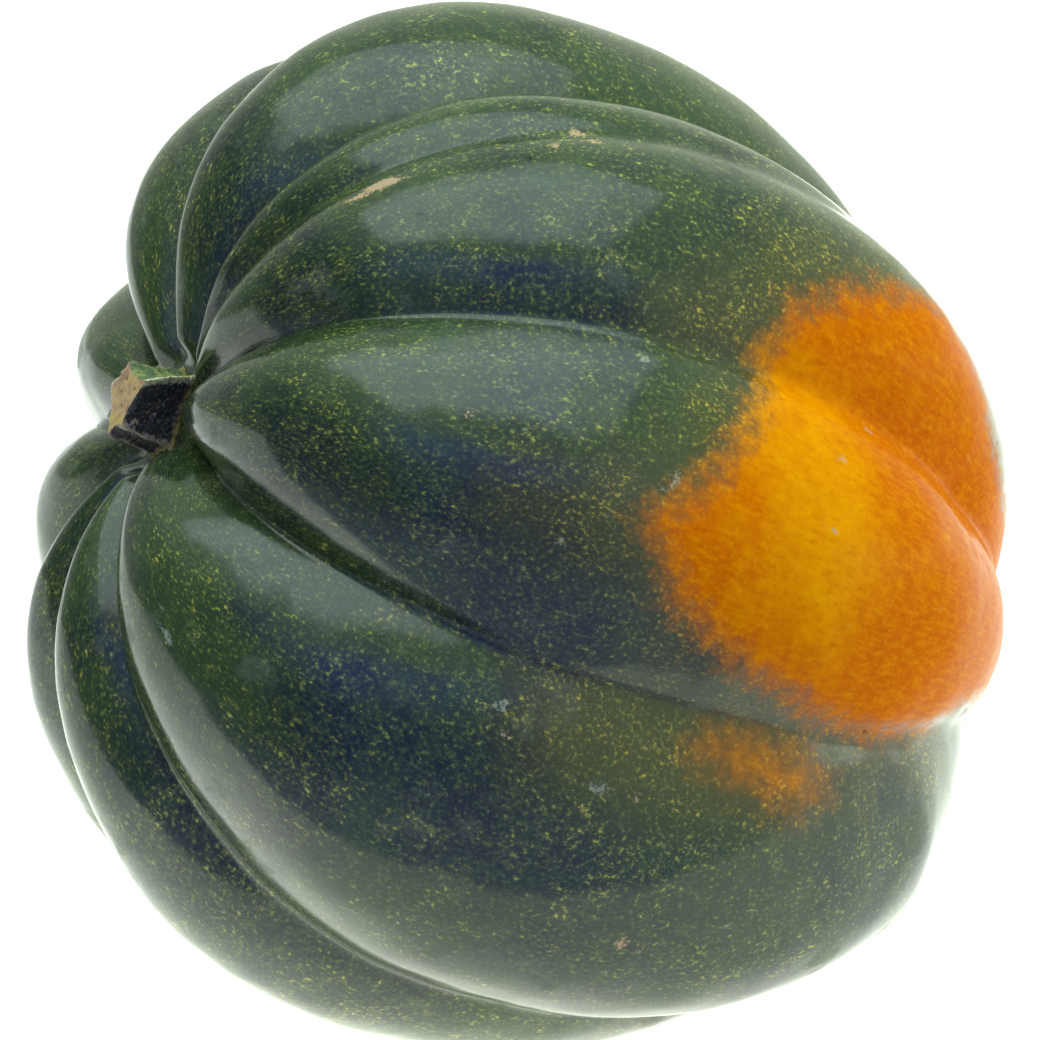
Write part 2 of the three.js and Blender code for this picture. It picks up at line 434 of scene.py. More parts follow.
# %% [markdown]
# ### From ribs to skin
#
# Along the fruit the outline follows two half ovals, fuller at the stem end, with a pit for
# the stem and a point at the blossom end. A groove pressed between two ribs is a sharp crease
# near the stem and opens into a soft valley toward the blossom end, so the corner where the
# arcs meet is rounded more and more on the way.

# %% Skin formula
CREASE = 0.008
VALLEY = 0.05


def groove_strength(along):
    depth = np.interp(along, GROOVE_ALONG, GROOVE_DEPTH)
    stem_fade = 1 - np.exp(-(POLE_TO_POLE * along / STEM_FADE) ** 2)
    blossom_fade = 1 - np.exp(-(POLE_TO_POLE * (1 - along) / BLOSSOM_FADE) ** 2)
    return depth * stem_fade * blossom_fade


def reach(along, theta):
    """How far out the ribs stand, as a part of RIB_RADIUS, with rounded groove bottoms."""
    reaches = []
    for one in RIBS:
        angle, centre, radius = rib_arc(one, along)
        off = theta - angle
        under = radius ** 2 - (centre * np.sin(off)) ** 2
        met = (under > 0) & (np.cos(off) > 0)
        reaches.append(np.where(met, centre * np.cos(off) + np.sqrt(np.maximum(under, 0)), 0))
    ranked = np.sort(reaches, axis=0)
    rounding = CREASE + (VALLEY - CREASE) * along ** 2
    share = np.clip(0.5 + (ranked[-1] - ranked[-2]) / (2 * rounding), 0, 1)
    return ranked[-1] * share + ranked[-2] * (1 - share) + rounding * share * (1 - share)


def smoothstep(value, low, high):
    part = np.clip((value - low) / (high - low), 0, 1)
    return part * part * (3 - 2 * part)


def skin_points(along, theta):
    """Points of the skin in the fruit's own frame, in millimetres."""
    latitude = np.pi * (0.5 - along)
    outward, upward = np.cos(latitude), np.sin(latitude)
    half = np.where(upward > 0, STEM_HALF, BLOSSOM_HALF)
    fullness = np.where(upward > 0, STEM_HALF_FULLNESS, BLOSSOM_HALF_FULLNESS)
    body = (np.abs(outward / RIB_RADIUS) ** fullness + np.abs(upward / half) ** fullness) ** (-1 / fullness)
    pit = PIT_DEPTH * np.exp(-(POLE_TO_POLE * along / PIT_SPREAD) ** 2)
    tip = TIP_LENGTH * np.exp(-(POLE_TO_POLE * (1 - along) / TIP_SPREAD) ** 2)
    distance = body * (1 - (1 - reach(along, theta)) * groove_strength(along)) - pit + tip
    radius = distance * outward
    y = radius * np.sin(theta)
    height = distance * upward + SIDE_LEAN * y
    shaped = np.where(along < 0.5, smoothstep(radius, SEAT_RADIUS, SEAT_BLEND), 1)
    height = SEAT_HEIGHT + (height - SEAT_HEIGHT) * shaped
    return np.stack([radius * np.cos(theta), y, height], axis=-1)


print("a point halfway along the first rib, in mm:", skin_points(np.array(0.5), 0.0).round(1))

# %% [markdown]
# ### Rows and columns
#
# The mesh is a grid: rows run round the fruit and columns run from stem to blossom. Every
# groove gets a column of its own, so its crease is a clean line instead of a row of teeth, and
# the columns crowd together a little beside the grooves, where the skin bends most.

# %% Skin grid
RINGS = 218
COLUMN_CROWDING = 0.07


def skin_grid():
    along = (np.arange(1, RINGS) / RINGS)[:, None]
    grooves = groove_angles(along)
    strips = []
    for i, one in enumerate(RIBS):
        part = np.arange(one.columns) / one.columns
        eased = part - COLUMN_CROWDING * np.sin(2 * np.pi * part)
        strips.append(grooves[i] + (grooves[i + 1] - grooves[i]) * eased)
    theta = np.concatenate(strips, axis=1)
    return np.broadcast_to(along, theta.shape), theta


along, theta = skin_grid()
skin = skin_points(along, theta)
print("rings and columns:", theta.shape)

# %% [markdown]
# ### Laying it down
#
# The fruit rolls until two ribs carry it, with the stem a little up and toward the viewer. Its
# weight has pressed two small flat spots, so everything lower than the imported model's floor is
# brought up to it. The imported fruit's box then says where the finished mesh belongs.

# %% Lay the fruit down
STEM_RISE = math.radians(21)
STEM_SWING = math.radians(23)
ROLL = math.radians(-84)
PRESSED = 0.8

lying = (Matrix.Rotation(STEM_SWING, 3, "Z") @ Matrix.Rotation(STEM_RISE - math.pi / 2, 3, "Y")
         @ Matrix.Rotation(ROLL, 3, "Z"))
LYING = np.array(lying)


def place_of_fruit(points):
    """Where the fruit's own origin lies in the frame, in millimetres."""
    low, high = (np.array(corner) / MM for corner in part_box("fruit"))
    lain = points.reshape(-1, 3) @ LYING.T
    floor = lain[:, 2].min() + PRESSED
    centre = (lain.min(axis=0) + lain.max(axis=0)) / 2
    return np.array([*((low + high) / 2 - centre)[:2], low[2] - floor])


ORIGIN = place_of_fruit(skin)


def lay(points):
    """From the fruit's own frame in millimetres to the frame in metres."""
    return (points @ LYING.T + ORIGIN) * MM


print("fruit origin in mm:", np.round(ORIGIN, 1))

# %% [markdown]
# ### A skin that grew
#
# No real rind is as even as a formula. Broad, shallow swellings come from the flesh under it,
# and they bend the reflections in the wax. They are a fraction of a millimetre deep, and being
# real geometry they are there in the finished mesh from every side. They fade out at both ends
# and are left off the flat spots, which are pressed after them.

# %% Swell the skin
SWELLING = [(0.045, 0.4), (0.12, 0.17), (0.32, 0.05)]
STEM_END_SMOOTH = (0.06, 0.14)
BLOSSOM_END_SMOOTH = (0.02, 0.1)


def swelling(point):
    """Millimetres of swelling, from noises that each have a pitch and a depth."""
    return sum(depth * noise.noise(Vector(point) * pitch) for pitch, depth in SWELLING)


def outward_normals(points):
    """Unit normals of a grid of points, from its neighbours down and round the fruit."""
    down = np.gradient(points, axis=0)
    round_about = np.roll(points, -1, axis=1) - np.roll(points, 1, axis=1)
    normals = np.cross(down, round_about)
    return normals / np.linalg.norm(normals, axis=-1, keepdims=True)


lumps = np.array([swelling(point) for point in skin.reshape(-1, 3)]).reshape(along.shape)
ends = smoothstep(along, *STEM_END_SMOOTH) * smoothstep(1 - along, *BLOSSOM_END_SMOOTH)
grown = lay(skin + outward_normals(skin) * (lumps * ends)[..., None])
grown[..., 2] = np.maximum(grown[..., 2], 0)
print("swellings in mm, from", lumps.min().round(2), "to", lumps.max().round(2))

# %% [markdown]
# ### From grid to mesh
#
# Each ring of points is joined to the next with four-sided faces, and a fan of triangles closes
# either end, so the mesh is one closed skin without a seam. The stem is built by the same
# function further down. The mesh is made in its final place, so the object isn't moved at all.

# %% Build the fruit
def ring_mesh(name, first, rings, last):
    """A closed mesh from a stack of rings with a point at either end."""
    rows, columns = rings.shape[:2]
    points = np.concatenate([[first], rings.reshape(-1, 3), [last]])
    index = 1 + np.arange(rows * columns).reshape(rows, columns)
    beside = np.roll(index, -1, axis=1)
    quads = np.stack([index[:-1], index[1:], beside[1:], beside[:-1]], axis=-1).reshape(-1, 4)
    top = [(0, a, b) for a, b in zip(index[0], beside[0])]
    bottom = [(a, len(points) - 1, b) for a, b in zip(index[-1], beside[-1])]
    mesh = bpy.data.meshes.new(name)
    mesh.from_pydata(points.tolist(), [], quads.tolist() + top + bottom)
    mesh.shade_smooth()
    return mesh


def add_piece(name, mesh, node):
    piece = bpy.data.objects.new(name, mesh)
    bpy.context.scene.collection.objects.link(piece)
    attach(piece, "root")
    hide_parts(node)


stem_pole = lay(np.array([0, 0, SEAT_HEIGHT]))
blossom_pole = lay(np.array([0, 0, -(BLOSSOM_HALF + TIP_LENGTH)]))
fruit_mesh = ring_mesh("squash_fruit", stem_pole, grown, blossom_pole)
add_piece("squash_fruit", fruit_mesh, "fruit")
print("fruit triangles:", sum(len(face.vertices) - 2 for face in fruit_mesh.polygons))

# %% [markdown]
# ### Coordinates that grow with the fruit
#
# Flecks and streaks follow the way a squash grows: they are stretched from stem to blossom and
# squeezed together toward the stem. So every point of the mesh carries a place on an imaginary
# cylinder round the axis, in millimetres, and the patterns are made there. The cylinder closes
# on itself, so no seam shows, and being stored in the mesh it never slides over the surface.

# %% Store the skin coordinates
PATTERN_RADIUS = 60


def meridian_length(along_values):
    """Millimetres of skin from the stem to each place along the fruit."""
    line = skin_points(along_values[:, None], np.zeros((len(along_values), 1)))[:, 0]
    steps = np.linalg.norm(np.diff(line, axis=0), axis=1)
    return np.concatenate([[0], np.cumsum(steps)])


def store(mesh, name, kind, key, values):
    layer = mesh.attributes.new(name, kind, "POINT")
    layer.data.foreach_set(key, np.ascontiguousarray(values, dtype=np.float32).ravel())


LENGTHS_ALONG = np.linspace(0, 1, 401)
LENGTHS = meridian_length(LENGTHS_ALONG)


def on_skin(angle, place):
    """Pattern coordinates of a spot: degrees round the fruit and part of the way from the stem."""
    turn = math.radians(angle)
    length = np.interp(place, LENGTHS_ALONG, LENGTHS)
    return (PATTERN_RADIUS * math.cos(turn), PATTERN_RADIUS * math.sin(turn), length)


def with_ends(grid, first, last):
    """The values of a grid in the order of ring_mesh's points, with those of its two end points."""
    return np.concatenate([[first], grid.reshape(-1, *grid.shape[2:]), [last]])


length = np.interp(along, LENGTHS_ALONG, LENGTHS)
growth = np.stack([PATTERN_RADIUS * np.cos(theta), PATTERN_RADIUS * np.sin(theta), length], axis=-1)
store(fruit_mesh, "growth", "FLOAT_VECTOR", "vector", with_ends(growth, (0, 0, 0), (0, 0, LENGTHS[-1])))
print("skin length from stem to blossom in mm:", LENGTHS[-1].round(1))

# %% [markdown]
# ### Where it ripened on the ground
#
# The rind is green only where light reached it. Where the fruit lay on the soil it stayed pale
# and then turned orange, in one large patch over two ribs and in a fainter one beside it. Each
# patch is an outline drawn on the skin, as degrees round the fruit and part of the way from the
# stem. Every point of the mesh gets its distance to the outline, in millimetres and more than
# nothing inside, and the shader turns that distance into a soft, ragged border.

# %% Orange patches
MAIN_PATCH = [
    (28, 0.515), (24, 0.522), (16, 0.497), (11, 0.48), (6.6, 0.457), (3.6, 0.44), (0.3, 0.456),
    (-3.5, 0.472), (-6.8, 0.50), (-9.7, 0.547), (-12.6, 0.60), (-14.5, 0.67), (-13, 0.74), (-8, 0.78),
    (-8, 0.84), (-5, 0.9), (4, 0.935), (18, 0.94), (30, 0.92), (36, 0.87), (35, 0.81), (38, 0.76),
    (44, 0.73), (48, 0.68), (43.3, 0.626), (38.2, 0.577), (33.7, 0.538), (30.5, 0.53),
]
FAINT_PATCH = [(-17, 0.54), (-19.5, 0.525), (-21.5, 0.555), (-23, 0.605), (-21, 0.63), (-18, 0.615)]
WARM_PATCHES = [
    [(7, 0.47), (6, 0.40), (3, 0.35), (-1, 0.35), (-3, 0.42), (-2, 0.48)],
    [(36, 0.53), (35, 0.49), (29, 0.45), (25, 0.46), (26, 0.52)],
    [(-12, 0.61), (-14, 0.48), (-19, 0.40), (-26, 0.42), (-26, 0.52), (-22, 0.66)],
]
FAR_OUTSIDE = -40


def flat_place(angle, place):
    return np.array([math.radians(angle) * PATTERN_RADIUS, place * LENGTHS[-1]])


def outline_distance(outline, points):
    """Distance in millimetres from each pattern place to an outline, positive inside it."""
    corners = np.array([flat_place(*corner) for corner in outline])
    ends = np.roll(corners, -1, axis=0)
    nearest = np.full(points.shape[:-1], np.inf)
    inside = np.zeros(points.shape[:-1], bool)
    for (x, y), (to_x, to_y) in zip(corners, ends):
        side = np.array([to_x - x, to_y - y])
        offset = points - (x, y)
        part = np.clip(offset @ side / (side @ side), 0, 1)
        nearest = np.minimum(nearest, np.linalg.norm(offset - part[..., None] * side, axis=-1))
        crosses = (y > points[..., 1]) != (to_y > points[..., 1])
        level = (points[..., 1] - y) / (to_y - y if to_y != y else 1)
        inside ^= crosses & (points[..., 0] < x + level * side[0])
    return np.where(inside, nearest, -nearest)


# Angles from -90 to 270 degrees keep every patch in one piece on the flattened skin.
unrolled = (theta + np.pi / 2) % (2 * np.pi) - np.pi / 2
flat = np.stack([unrolled * PATTERN_RADIUS, along * LENGTHS[-1]], axis=-1)
for name, patches in {"ripe": [MAIN_PATCH], "faint": [FAINT_PATCH], "warm": WARM_PATCHES}.items():
    inside = np.max([outline_distance(patch, flat) for patch in patches], axis=0)
    inside = np.maximum(inside, FAR_OUTSIDE)
    store(fruit_mesh, name, "FLOAT", "value", with_ends(inside, FAR_OUTSIDE, FAR_OUTSIDE))
    print(name, "points inside:", int((inside > 0).sum()))

# %% [markdown]
# ### Scars, dry dots and nicks
#
# Every squash from a field carries a few marks: corky tan scars where the rind healed, one of
# them where the blossom fell off, pale dry dots, and dark nicks. The largest have places of
# their own, and a seeded scatter covers the rest of the fruit. Marks are stored like the
# patches, because a distance stays smooth between the points of a mesh while a painted dot
# would come out as a polygon. Each has its degrees round the fruit, its part of the way from
# the stem, its radius in millimetres, and how many times shorter than wide it is.

# %% Marks
CORKY_MARKS = [
    (47.3, 0.268, 1.4, 0.45), (46.4, 0.253, 0.8, 0.4), (49.4, 0.38, 0.7, 1), (51.2, 0.409, 0.6, 0.7),
    (318.3, 0.523, 0.7, 0.6), (317.3, 0.535, 0.6, 1), (335.6, 0.402, 0.4, 0.6),
]
DRY_MARKS = [
    (4.9, 0.36, 0.6, 0.8), (318.1, 0.199, 1.0, 0.6), (320, 0.185, 0.7, 0.8), (8.7, 0.454, 1.0, 1.2),
    (7.2, 0.447, 0.7, 1), (358.6, 0.594, 0.5, 1), (338.3, 0.393, 0.9, 0.8), (332.3, 0.437, 0.5, 1),
    (324.5, 0.481, 0.5, 1), (325.5, 0.474, 0.4, 1), (17.3, 0.577, 0.7, 0.6), (9.1, 0.558, 0.7, 1),
    (8.3, 0.569, 0.5, 1), (4.3, 0.676, 0.6, 1), (28.8, 0.23, 0.5, 2.5),
]
NICKS = [(46.5, 0.362, 0.55, 1), (18.3, 0.393, 0.4, 1), (39.2, 0.29, 0.5, 0.7), (305.4, 0.198, 0.5, 1)]
BLOSSOM_SCAR = 0.984
SCATTER_SEED = 11
SCATTER_ENDS = 0.9
SCATTER_SHORTER = (0.5, 1.6)
MARK_REACH = 4


def scatter(count, smallest, largest, generator):
    """Marks strewn over the whole fruit, evenly over its skin, with many small and few large."""
    angles = generator.uniform(0, 360, count)
    places = np.arccos(generator.uniform(-SCATTER_ENDS, SCATTER_ENDS, count)) / np.pi
    sizes = smallest + (largest - smallest) * generator.uniform(0, 1, count) ** 3
    return list(zip(angles, places, sizes, generator.uniform(*SCATTER_SHORTER, count)))


def depth_inside(marks):
    """How far inside the nearest mark each point of the skin lies, in millimetres."""
    points = growth.reshape(-1, 3)
    deepest = np.full(len(points), -float(MARK_REACH))
    for angle, place, size, shorter in marks:
        offset = points - on_skin(angle, place)
        near = np.flatnonzero(np.abs(offset).max(axis=1) < MARK_REACH * 2)
        away = np.linalg.norm(offset[near] * (1, 1, shorter), axis=1)
        deepest[near] = np.maximum(deepest[near], size - away)
    return deepest.reshape(along.shape)


generator = np.random.default_rng(SCATTER_SEED)
corky = depth_inside(CORKY_MARKS + scatter(12, 0.3, 0.8, generator))
corky = np.maximum(corky, (along - BLOSSOM_SCAR) * LENGTHS[-1])
dry = depth_inside(DRY_MARKS + scatter(90, 0.35, 0.8, generator))
nicked = depth_inside(NICKS + scatter(40, 0.3, 0.6, generator))
for name, depths in {"corky": corky, "dry": dry, "nicked": nicked}.items():
    store(fruit_mesh, name, "FLOAT", "value", with_ends(depths, -MARK_REACH, depths[-1].max()))
    print(name, "points inside a mark:", int((depths > 0).sum()))

# %% [markdown]
# ### Broad changes of tone
#
# Slow changes across the rind are also stored in the mesh: where the green turns bluish or
# olive, where the flecks gather, and where the wax is rubbed dull. A noise texture in the
# shader would give the same, but it would be worked out again for every ray of light.

# %% Store the broad tones
DRIFT_SHIFT = 17.3
DRIFT_ROUGHNESS = (0.6, 2.0)


def drift(pitch, seed, octaves):
    """Smooth noise over the skin, from about 0 to 1, whose swells are 1 / pitch millimetres wide."""
    shift = Vector((seed * DRIFT_SHIFT, 0, 0))
    points = growth.reshape(-1, 3)
    values = [noise.fractal(Vector(point) * pitch + shift, *DRIFT_ROUGHNESS, octaves) for point in points]
    return np.clip(0.5 + 0.5 * np.array(values), 0, 1).reshape(along.shape)


TONES = [("tone", 0.045, 3), ("clump", 0.14, 2), ("rubbed", 0.1, 4)]
for seed, (name, pitch, octaves) in enumerate(TONES):
    tones = drift(pitch, seed, octaves)
    store(fruit_mesh, name, "FLOAT", "value", with_ends(tones, 0.5, 0.5))
    print(name, "from", tones.min().round(2), "to", tones.max().round(2))

# %% [markdown]
# ## The finish of the rind
#
# Ripe rind is dark green with countless yellow-green flecks, under a clear wax that shines.
# The colour is built in layers, like paint: first the green, then the flecks, then orange over
# both, and the marks last. A painted texture could show one side only, and these layers cover
# the whole fruit. They are all cut out of the same few patterns: a mottle some millimetres
# wide, fibres drawn out from stem to blossom, a fine grain, and the noises whose peaks become
# flecks. Flecks crowd together where the rind has begun to turn.

# %% Rind patterns
STRETCHED = (1, 1, 0.8)
DRAWN_OUT = (1, 1, 0.35)
MOTTLE, FIBRE, GRAIN = (0.45, 3, 0.6), (1.3, 2, 0.6), (2.2, 2, 0.6)
LARGE_NOISE, FINE_NOISE = (1.9, 1), (3.4, 1)
HALO_PEAKS, FLECK_PEAKS, SPECK_PEAKS = (0.4, 0.68), (0.52, 0.9), (0.53, 0.92)
OLIVE_BORDER, OLIVE_RAGGED = (-13, -2), 8
WARM_BORDER = (-8, 6)
CROWD_IN_CLUMPS, CROWD_TURNING, CROWD_IN_MOTTLE = 0.08, 0.02, 0.15


def rind_patterns(rind):
    at = SimpleNamespace(growth=rind.attribute("growth", "Vector"))
    for name in ["tone", "clump", "ripe", "faint", "warm"]:
        setattr(at, name, rind.attribute(name))
    at.mottle = rind.noise(at.growth, *MOTTLE)
    at.fibre = rind.noise(rind.scale(at.growth, DRAWN_OUT), *FIBRE)
    at.grain = rind.noise(at.growth, *GRAIN)
    olive = (at.ripe + at.clump.swing(OLIVE_RAGGED)).step(*OLIVE_BORDER)
    at.turning = olive.most(at.warm.step(*WARM_BORDER))
    crowding = at.clump.swing(CROWD_IN_CLUMPS) + at.turning * CROWD_TURNING
    crowding += at.mottle.swing(CROWD_IN_MOTTLE)
    stretched = rind.scale(at.growth, STRETCHED)
    large = rind.noise(stretched, *LARGE_NOISE) + crowding
    at.halo, at.flecks = large.step(*HALO_PEAKS), large.step(*FLECK_PEAKS)
    at.specks = (rind.noise(stretched, *FINE_NOISE) + crowding).step(*SPECK_PEAKS)
    return at


rind = Finish("waxy_rind")
at = rind_patterns(rind)
print("nodes for the patterns:", len(rind.tree.nodes))

# %% [markdown]
# ### The green and its flecks
#
# The green is deep and bluish in some places and leafier in others, and olive where it has
# begun to turn. A fleck is the peak of a noise, squared so that it fades out softly, with a
# paler halo round it. Flecks modelled one by one would have hard edges, and there would have to
# be thousands.

# %% Green layer
DEEP_GREEN = (0.012, 0.022, 0.020)
LEAF_GREEN = (0.028, 0.054, 0.019)
PALE_GREEN = (0.075, 0.115, 0.030)
OLIVE = (0.070, 0.070, 0.014)
FLECK_GREEN = (0.26, 0.32, 0.05)
FLECK_YELLOW = (0.52, 0.50, 0.07)
FLECK_ORANGE = (0.62, 0.36, 0.03)
LEAFIER, YELLOWER, PALER = (0.2, 0.8), (0.35, 0.65), (0.4, 0.8)
PALE_RAGGED = 0.7


def green_skin(rind, at):
    yellow = rind.mix(at.mottle.step(*YELLOWER), FLECK_GREEN, FLECK_YELLOW)
    yellow = rind.mix(at.turning * 0.6, yellow, FLECK_ORANGE)
    return rind.layers(
        DEEP_GREEN,
        (at.tone.step(*LEAFIER), LEAF_GREEN),
        ((at.mottle + at.grain.swing(PALE_RAGGED)).step(*PALER) * 0.4, PALE_GREEN),
        (at.turning * 0.7, OLIVE), (at.halo * 0.45, PALE_GREEN),
        (at.specks * at.specks * (at.clump * 0.9 + 0.45), yellow),
        (at.flecks * at.flecks * (at.clump * 0.9 + 0.75), yellow),
    )


green = green_skin(rind, at)
print("nodes with the green:", len(rind.tree.nodes))

# %% [markdown]
# ### The orange
#
# The orange spreads into the green fleck by fleck, so mottle and flecks are added to the stored
# distance before it becomes a mask. Inside, the colour glows amber round a heart where it
# turned first, and amber and russet fibres run through it from stem to blossom. A plain
# gradient would look sprayed on.

# %% Orange layer
GOLD = (0.92, 0.46, 0.0)
AMBER = (0.88, 0.34, 0.0)
ORANGE = (0.68, 0.15, 0.0)
RUSSET = (0.48, 0.08, 0.0)
HEART = on_skin(12, 0.56)
HEART_REACH, HEART_RAGGED = (26, 6), 20
MAIN_BORDER, FAINT_BORDER = (-3.5, 4), (-4, 6)
FAINT_FULL = 0.75
AMBER_FIBRES, RUSSET_FIBRES = (0.45, 0.8), (0.5, 0.2)


def orange_masks(rind, at):
    """How far the main patch and the fainter one have turned, from 0 to 1."""
    speckled = at.mottle.swing(8) + at.grain.swing(2) + at.flecks * 1.2 + at.specks * 0.5
    faint_part = (at.faint + speckled).step(*FAINT_BORDER) * FAINT_FULL
    return (at.ripe + speckled).step(*MAIN_BORDER), faint_part


def orange_skin(rind, at, faint_part):
    inputs = {0: at.growth, 1: HEART}
    from_heart = rind.node("VectorMath", {"operation": "DISTANCE"}, inputs, "Value")
    glow = (from_heart + at.tone.swing(HEART_RAGGED)).step(*HEART_REACH)
    return rind.layers(
        ORANGE,
        (glow * 0.8 + at.mottle.swing(1.2), AMBER),
        (at.fibre.step(*AMBER_FIBRES) * 0.5, AMBER),
        (at.fibre.step(*RUSSET_FIBRES) * 0.35, RUSSET),
        (at.flecks * 0.35, GOLD), (faint_part * 0.6, AMBER),
    )


orange_part, faint_part = orange_masks(rind, at)
turned = orange_part.most(faint_part)
ripened = rind.mix(turned, green, orange_skin(rind, at, faint_part))
print("nodes with the orange:", len(rind.tree.nodes))

# %% [markdown]
# ### The marks
#
# Scars, dry dots and nicks lie over every other layer. Their stored distances are roughened by
# the grain, so that their edges look torn. `bare` says where a mark has broken through the wax.
# Where the wax is only rubbed, a little dust shows.

# %% Mark layer
CORK = (0.60, 0.42, 0.24)
DUST = (0.42, 0.45, 0.34)
NICK = (0.010, 0.012, 0.008)
CORKY_EDGE, DRY_EDGE, NICK_EDGE = (-0.1, 0.4), (0, 0.6), (-0.1, 0.3)
RUBBED_PEAKS = (0.72, 0.9)


def marked_skin(rind, at, skin, turned):
    """The skin with its marks, and how bare of wax and how rubbed it is."""
    torn = at.mottle.swing(1.2) + at.grain.swing(2.4)
    cork = (rind.attribute("corky") + torn).step(*CORKY_EDGE)
    dry = (rind.attribute("dry") + torn).step(*DRY_EDGE)
    nick = (rind.attribute("nicked") + torn * 0.5).step(*NICK_EDGE)
    rubbed = (rind.attribute("rubbed") + torn * 0.1).step(*RUBBED_PEAKS)
    skin = rind.layers(
        skin,
        (rubbed * (1 - turned) * 0.1, DUST), (dry * 0.6, DUST),
        (cork * 0.85, CORK), (nick * 0.85, NICK),
    )
    return skin, cork.most(dry * 0.6).most(nick * 0.8), rubbed


marked, bare, rubbed = marked_skin(rind, at, ripened, turned)
print("nodes with the marks:", len(rind.tree.nodes))

# %% [markdown]
# ### Wax and dimples
#
# All the shine is in the wax, and the skin under it is matt. So the coat of the Principled
# shader is the wax, its base has no reflection of its own, and orange skin, scars and dry dots
# get little coat or none. Bump carries only what is too fine for the mesh: shallow dimples, and
# ripples that run with the growth, stronger near the stem, and fray the edges of the highlights.

# %% Rind surface
SKIN_ROUGHNESS, ROUGHER_MOTTLE, ROUGHER_BARE = 0.36, 0.2, 0.3
WAX_ROUGHNESS = 0.15
EDGE_ON = (0.5, 0.9)
ORANGE_UNWAXED, EDGE_WAX, RUBBED_OFF = 0.95, 0.25, 0.4
RIPPLES_FADE = (50, 15)
RIPPLES_EVERYWHERE, RIPPLES_AT_STEM = 0.05, 0.12
DIMPLES, FINE_GRAIN = 0.16, 0.018


def wax_coat(rind, turned, bare, rubbed):
    """Orange skin keeps a little wax, most of it where it is seen edge on."""
    edge_on = rind.node("LayerWeight", {}, {"Blend": 0.5}, "Facing").step(*EDGE_ON)
    unwaxed = turned * (ORANGE_UNWAXED - edge_on * EDGE_WAX)
    return (1 - bare) * (1 - unwaxed) * (1 - rubbed * RUBBED_OFF)


def rind_relief(rind, at):
    near_stem = rind.part(at.growth, "Z").step(*RIPPLES_FADE)
    ripples = at.fibre * (RIPPLES_EVERYWHERE + near_stem * RIPPLES_AT_STEM)
    return rind.bump(at.mottle * DIMPLES + ripples + at.grain * FINE_GRAIN)


fruit_mesh.materials.append(rind.surface({
    "Base Color": marked,
    "Roughness": SKIN_ROUGHNESS + at.mottle.swing(ROUGHER_MOTTLE) + bare * ROUGHER_BARE,
    "Coat Weight": wax_coat(rind, turned, bare, rubbed), "Coat Roughness": WAX_ROUGHNESS,
    "Specular IOR Level": 0.0, "Normal": rind_relief(rind, at),
}))
print("rind nodes:", len(rind.tree.nodes))

# %% [markdown]
# ## The stub of the stem
#
# The stem is five-sided and woody, with a ridge up each corner and a hollow down each side. It
# was cut straight across with a blade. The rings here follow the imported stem's ridges, with
# many more points, so the crust, the warts and the ragged collar at the root can all be real
# shape. The root goes a little way into the fruit, as the two grew as one. A ridge has its
# angle and its distance from the middle, both at the root and at the cut, and how far it
# stands out.

# %% The sides of the stem
STEM_LENGTH = 7.8
STEM_OFFSET = 1.2
STEM_HOLLOW = 0.1
STEM_SUNK = 0.5
STEM_RIDGES = [
    (58, 25, 5.8, 6.9, 0.35), (102, 99, 6.0, 4.8, 0.15), (178, 162, 6.0, 4.7, 0.15),
    (247, 266, 6.3, 4.8, 0.2), (303, 311, 5.0, 4.2, 0.3),
]
STEM_SIDE_STEPS = 52
RIDGE_WIDTH = 0.85
RIDGE_SOFTENINGS = 3


def stem_height(up):
    return SEAT_HEIGHT - STEM_SUNK + (STEM_LENGTH + STEM_SUNK) * up


def stem_ring(up):
    """Points round the stem at one height, 0 at the root and 1 at the cut, and how near the ridges are."""
    corners = []
    for root_angle, cut_angle, root_radius, cut_radius, _ in STEM_RIDGES:
        angle = math.radians(root_angle + (cut_angle - root_angle) * up)
        flare = root_radius + (cut_radius - root_radius) * math.sqrt(up)
        corners.append(np.array([math.cos(angle), math.sin(angle)]) * flare)
    across = (np.arange(STEM_SIDE_STEPS) / STEM_SIDE_STEPS)[:, None]
    hollow = 1 - STEM_HOLLOW * np.sin(np.pi * across)
    sides = zip(corners, corners[1:] + corners[:1])
    ring = np.concatenate([(a + (b - a) * across) * hollow for a, b in sides])
    for _ in range(RIDGE_SOFTENINGS):
        ring = (np.roll(ring, 2, axis=0) + np.roll(ring, -2, axis=0) + ring * 2) / 4
    ridges = [np.exp(-(np.linalg.norm(ring - corner, axis=1) / RIDGE_WIDTH) ** 2) for corner in corners]
    return ring, np.array(ridges)


print("stem at its cut in mm:", np.ptp(stem_ring(1)[0], axis=0).round(1))

# %% [markdown]
# ### Crust and collar
#
# Three things roughen the sides: a crust of fine noise, small round warts, and a collar that
# breaks out where the stem leaves the fruit. At the cut the blade has bevelled the edge a
# little. A displacement texture could do the same, but it would need even more points, and it
# wouldn't know where the collar is.

# %% Sides of the stem
STEM_ROWS = 84
CRUST = [(0.9, 0.22), (2.4, 0.12), (6.0, 0.04)]
WART_PITCH, WART_SIZE, WART_HEIGHT = 1.1, 0.28, 0.14
COLLAR, COLLAR_SWELL, COLLAR_RAGGED, RAGGED_PITCH = 0.09, 0.55, 0.7, 1.6
BEVEL, BEVEL_DEPTH = 0.03, 0.22


def crust(point):
    return sum(depth * noise.noise(Vector(point) * pitch) for pitch, depth in CRUST)


def wart(point):
    away = noise.voronoi(Vector(point) * WART_PITCH)[0][0]
    return WART_HEIGHT * max(0, 1 - (away / WART_SIZE) ** 2)


def collar(point, up):
    ragged = noise.noise(Vector(point) * RAGGED_PITCH)
    return math.exp(-(up / COLLAR) ** 2) * (COLLAR_SWELL + COLLAR_RAGGED * ragged)


